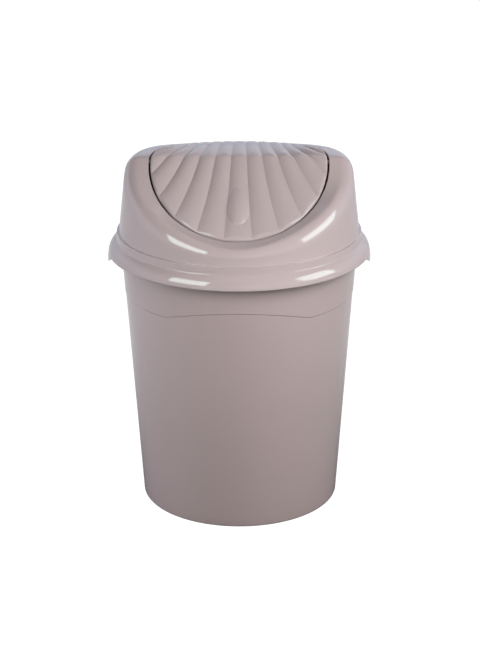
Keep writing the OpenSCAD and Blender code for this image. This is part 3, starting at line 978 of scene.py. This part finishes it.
# Operators
class BIN_OT_bucket(bpy.types.Operator):
    """Build the tapered bucket with its arched band and rolled rim"""

    bl_idname = "bin.bucket"
    bl_label = "Bucket"

    def execute(self, context):
        columns = bucket_columns(context.scene.bin_bucket)
        shell = mesh_object("bucket_shell", lambda mesh: grid_faces(mesh, columns, True, False))
        finish_piece(shell, moulding("bucket"), "bucket", "bucket")
        return {"FINISHED"}


class BIN_OT_lid(bpy.types.Operator):
    """Build the lid: skirt with finger tabs, shoulder, ring, dome and opening"""

    bl_idname = "bin.lid"
    bl_label = "Lid"

    def execute(self, context):
        columns = lid_columns(context.scene.bin_lid, context.scene.bin_top)
        shell = mesh_object("lid_shell", lambda mesh: grid_faces(mesh, columns, True, True))
        finish_piece(shell, moulding("lid"), "lid", "lid")
        return {"FINISHED"}


class BIN_OT_sockets(bpy.types.Operator):
    """Build the two pivot sockets and their gussets under the opening's rim"""

    bl_idname = "bin.sockets"
    bl_label = "Pivot sockets"

    def execute(self, context):
        l, s, f = context.scene.bin_lid, context.scene.bin_top, context.scene.bin_flap
        middle = pivot(f, s)
        start = socket_start(l, f)
        end = start + f.pin_hold
        outside = end + SINK + l.wall
        bore = f.pin_radius + f.pin_clear
        mouth, edge = 0.3 * MM, 0.4 * MM
        corners = [(start, bore + mouth, 0), (start, f.boss_radius, edge), (outside, f.boss_radius, 0)]
        path = filleted(corners, steps=1) + [(outside, 0)]
        hollow = [(end + SINK, 0), (end + SINK, bore), (start + mouth, bore), (start, bore + mouth)]
        azimuth = math.pi / 2 + math.asin(f.pivot_back / (l.ring_radius - l.ledge))
        _, side = dome_side(l, s, azimuth, l.wall / 2)
        foot = outside - SINK
        outline = [p for p in side if p[0] > foot and p[1] > l.ring_height]
        outline += [(foot, middle[2] + f.boss_radius - SINK), (foot, middle[2] - f.boss_radius + SINK)]

        def build(mesh):
            for hand in (1, -1):
                turned(mesh, path, middle, hand)
                turned(mesh, hollow, middle, hand)
                prism(mesh, [(hand * x, z) for x, z in outline], f.pivot_back - MM, f.pivot_back + MM)

        sockets = mesh_object("pivot_sockets", build)
        finish_piece(sockets, moulding("lid"), "lid")
        return {"FINISHED"}


class BIN_OT_flap(bpy.types.Operator):
    """Build the fluted flap from its node tree"""

    bl_idname = "bin.flap"
    bl_label = "Fluted flap"

    def execute(self, context):
        inputs, names = size_inputs(context.scene.bin_top, context.scene.bin_flap)
        shell = bake_tree("flap_shell", flap_tree(inputs, names), inputs, moulding("flap"))
        finish_piece(shell, moulding("flap"), "swing_flap", "swing_flap", sharp=24)
        return {"FINISHED"}


class BIN_OT_pad(bpy.types.Operator):
    """Build the oval finger pad with its grip ridges from its node tree"""

    bl_idname = "bin.pad"
    bl_label = "Finger pad"

    def execute(self, context):
        scene = context.scene
        inputs, names = size_inputs(scene.bin_top, scene.bin_flap, scene.bin_pad)
        pad = bake_tree("finger_pad", pad_tree(inputs, names), inputs, moulding("flap"))
        finish_piece(pad, moulding("flap"), "swing_flap")
        return {"FINISHED"}


class BIN_OT_underside(bpy.types.Operator):
    """Build the flap's two ribs, and the pins with their bosses"""

    bl_idname = "bin.underside"
    bl_label = "Flap ribs and pins"

    def execute(self, context):
        l, f = context.scene.bin_lid, context.scene.bin_flap
        inputs, names = size_inputs(context.scene.bin_top, f)
        s = SimpleNamespace(**{key: value for key, (_, _, value) in zip(names, inputs)})
        middle = pivot(f, s)
        end = socket_start(l, f) + f.pin_hold
        lug_end = math.sqrt(f.flap_radius**2 - (f.pivot_back + f.boss_radius) ** 2) - SINK / 2
        lug = lug_end - f.lug_length
        line = math.acos(-f.pivot_back / f.flap_radius) / f.front_pitch
        boss = [(lug, 0, 0), (lug, f.boss_radius, 0.5 * MM), (lug_end, f.boss_radius, 0.5 * MM)]
        pin = [(lug_end, f.pin_radius, 0.4 * MM), (end, f.pin_radius, 0.6 * MM), (end, 0, 0)]
        path = filleted(boss + pin, steps=1)

        def build(mesh):
            under_rib(mesh, s, (0.05, 0.065), -4.5, 4.5, f.front_rib, 90)
            under_rib(mesh, s, (0.9, 0.95), -5, 5, f.balance_rib, 100)
            for hand in (1, -1):
                turned(mesh, path, middle, hand)
                u0, u1 = hand * (line - 0.25), hand * (line + 0.1)
                under_rib(mesh, s, (0.01, 0.07), u0, u1, f.boss_radius, 6)

        ribs = mesh_object("flap_ribs_and_pins", build)
        finish_piece(ribs, moulding("flap"), "swing_flap", sharp=40)
        return {"FINISHED"}


class BIN_OT_stage(bpy.types.Operator):
    """Set up the pale floor, the studio lights and the camera"""

    bl_idname = "bin.stage"
    bl_label = "Studio and camera"

    def execute(self, context):
        scene = context.scene
        g = scene.bin_stage
        camera = bpy.data.cameras.new("camera")
        camera.sensor_fit = "VERTICAL"
        camera.sensor_height = 36.0
        camera.lens = g.lens
        viewer = new_object("camera", camera)
        around = Matrix.Rotation(g.camera_turn, 4, "Z")
        viewer.location = around @ Vector((g.camera_side, -g.camera_distance, g.camera_height))
        viewer.rotation_euler = (math.pi / 2 - g.camera_tilt, 0, g.camera_turn)
        viewer.rotation_euler.rotate_axis("Z", -g.camera_roll)
        scene.camera = viewer
        scene.view_settings.view_transform = "Standard"

        def build(mesh):
            far = 9
            corners = [(-far, -far), (far, -far), (far, far), (-far, far)]
            mesh.faces.new([mesh.verts.new((x, y, 0)) for x, y in corners])

        floor = mesh_object("floor", build)
        floor.data.materials.append(pale_floor())
        scene.world = white_room(g.front_room, g.back_room)

        # Azimuth from the front, elevation, distance, width and height of the two softboxes
        left, right = (-43.7, 27.2, 1.3, 0.74, 0.58), (72.6, 27.0, 1.3, 0.78, 0.62)
        white, cool, blue, pale_blue = (1, 1, 1), (0.8, 1.0, 0.97), (0.82, 0.9, 1.12), (0.94, 0.98, 1.1)
        # Watts for a radiance of 1 over one square metre
        unit = 4
        for name, power, colour, sees, place in (
            ("left_softbox", g.left_light, white, "both", left),
            ("right_softbox", g.right_light, white, "diffuse", right),
            ("left_glint", g.left_glint * unit * left[3] * left[4], cool, "glossy", left),
            ("right_glint", g.right_glint * unit * right[3] * right[4], cool, "glossy", right),
            ("back_light", g.back_light, blue, "diffuse", (180, 26, 2.0, 1.8, 0.6)),
            ("near_light", g.near_light, white, "diffuse", (12, 30, 0.95, 0.6, 0.45)),
            ("low_light", g.low_light, pale_blue, "diffuse", (-92, -12, 1.0, 0.5, 0.3)),
        ):
            azimuth, elevation, distance, width, height = place
            # A glint lies just behind its softbox, so that both count in reflections
            distance += 0.03 * (sees == "glossy")
            light = bpy.data.lights.new(name, "AREA")
            light.shape = "RECTANGLE"
            light.size = width
            light.size_y = height
            light.energy = power
            light.color = colour
            lamp = new_object(name, light)
            a, e = math.radians(azimuth), math.radians(elevation)
            way = Vector((math.sin(a) * math.cos(e), -math.cos(a) * math.cos(e), math.sin(e)))
            lamp.location = Vector((0, 0, g.light_height)) + way * distance
            lamp.rotation_euler = way.to_track_quat("Z", "Y").to_euler()
            lamp.visible_camera = False
            lamp.visible_diffuse = sees != "glossy"
            lamp.visible_glossy = sees != "diffuse"
        return {"FINISHED"}


OPERATORS = (
    BIN_OT_stage,
    BIN_OT_bucket,
    BIN_OT_lid,
    BIN_OT_sockets,
    BIN_OT_flap,
    BIN_OT_pad,
    BIN_OT_underside,
)


class BIN_PT_panel(bpy.types.Panel):
    """Lists the bin's sizes and the steps that build it"""

    bl_idname = "BIN_PT_panel"
    bl_label = "Swing-Top Bin"
    bl_space_type = "VIEW_3D"
    bl_region_type = "UI"
    bl_category = "Bin"

    def draw(self, context):
        layout = self.layout
        for group in GROUPS:
            box = layout.box()
            box.label(text=group.replace("bin_", "").title())
            settings = getattr(context.scene, group)
            for key in settings.bl_rna.properties.keys():
                if key not in ("rna_type", "name"):
                    box.prop(settings, key)
        for step in OPERATORS:
            layout.operator(step.bl_idname)


def register():
    for cls in (*GROUPS.values(), *OPERATORS, BIN_PT_panel):
        bpy.utils.register_class(cls)
    for name, cls in GROUPS.items():
        setattr(bpy.types.Scene, name, PointerProperty(type=cls))


def unregister():
    for name in GROUPS:
        delattr(bpy.types.Scene, name)
    for cls in reversed((*GROUPS.values(), *OPERATORS, BIN_PT_panel)):
        bpy.utils.unregister_class(cls)


def main():
    register()
    bpy.ops.bin.stage()
    bpy.ops.bin.bucket()
    bpy.ops.bin.lid()
    bpy.ops.bin.sockets()
    bpy.ops.bin.flap()
    bpy.ops.bin.pad()
    bpy.ops.bin.underside()


if __name__ == "__main__":
    main()
